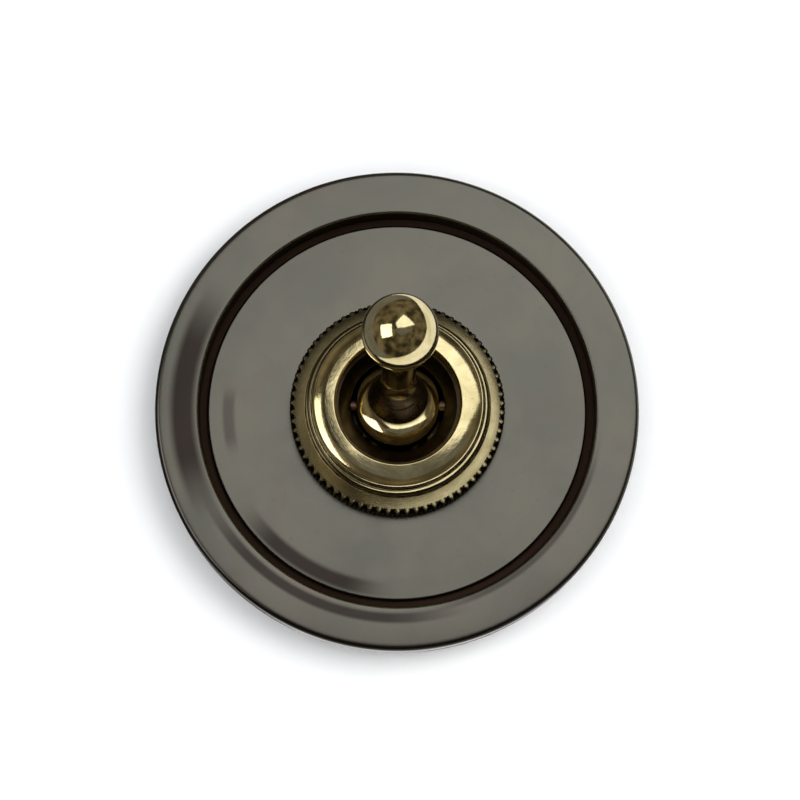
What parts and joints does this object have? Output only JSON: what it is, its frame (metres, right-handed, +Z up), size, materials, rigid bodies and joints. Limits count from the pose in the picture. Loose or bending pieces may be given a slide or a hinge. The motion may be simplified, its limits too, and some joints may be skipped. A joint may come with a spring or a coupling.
{
  "type": "toggle wall switch",
  "caption": "Round surface-plate toggle wall switch with a dark metal plate, knurled brass ring nut, egg-knobbed lever and a snap mechanism behind it.",
  "frame": {"origin": "centre of the wall plane, on the axis of the plate and ring nut", "axes": "+Y into the wall, so the front faces -Y; +Z up, the way the lever is thrown; +X right seen from the front"},
  "size_m": [0.09, 0.0747, 0.09],
  "materials": {
    "black_nickel": "satin black nickel with fine circular brushing",
    "polished_brass": "aged polished brass",
    "bush_brass": "machined brass, dulled",
    "zinc_steel": "zinc-plated steel",
    "bright_steel": "ground steel",
    "contact_brass": "bright rolled brass strip",
    "silver": "silver contact",
    "bakelite": "dark brown moulded bakelite",
    "cradle_resin": "natural brown laminate",
    "fibre": "red vulcanised fibre"
  },
  "bodies": {
    "mechanism": {"outer_frame": "black_nickel", "cover_disc": "black_nickel", "mounting_bridge": "zinc_steel", "earth_clamp": "contact_brass", "earth_screw": "bush_brass", "threaded_bush": "bush_brass", "bush_spacer": "bush_brass", "ring_washer": "fibre", "pivot_pin": "bright_steel", "rocker_pin": "bright_steel", "common_terminal": "contact_brass", "fixed_contact_upper": "contact_brass", "fixed_contact_lower": "contact_brass", "fixed_tip_upper": "silver", "fixed_tip_lower": "silver", "housing_front": "bakelite", "housing_barrel": "bakelite", "housing_rear_plate": "bakelite", "assembly_screws": "zinc_steel", "terminal_cage_upper": "contact_brass", "terminal_screw_upper": "zinc_steel", "terminal_cage_lower": "contact_brass", "terminal_screw_lower": "zinc_steel", "terminal_cage_common": "contact_brass", "terminal_screw_common": "zinc_steel"},
    "lever": {"toggle_hub": "polished_brass", "toggle_knob": "polished_brass", "plunger_spring": "bright_steel"},
    "plunger_rod": {"plunger": "bright_steel"},
    "rocker": {"contact_rocker": "contact_brass", "rocker_cradle": "cradle_resin", "rocker_tip_upper": "silver", "rocker_tip_lower": "silver"},
    "ring_nut": {"knurled_ring_nut": "polished_brass"}
  },
  "joints": [
    {"name": "lever_toggle", "type": "hinge", "parent": "mechanism", "child": "lever", "pos_m": [0, -0.009, 0], "axis": [1, 0, 0], "range_deg": [0, 36]},
    {"name": "plunger_slide", "type": "slide", "parent": "lever", "child": "plunger_rod", "axis": [0, -0.9511, 0.309], "range_m": [0, 0.001], "stiffness_N_per_m": 1000, "deforming": ["plunger_spring"]},
    {"name": "rocker_tilt", "type": "hinge", "parent": "mechanism", "child": "rocker", "pos_m": [0, 0.018, 0], "axis": [1, 0, 0], "range_deg": [-20, 0]},
    {"name": "ring_nut_turn", "type": "hinge", "parent": "mechanism", "child": "ring_nut", "pos_m": [0, 0, 0], "axis": [0, 1, 0], "continuous": true}
  ],
  "couplings": [
    {"joint": "rocker_tilt", "follows": "lever_toggle", "ratio": -0.55556}
  ]
}
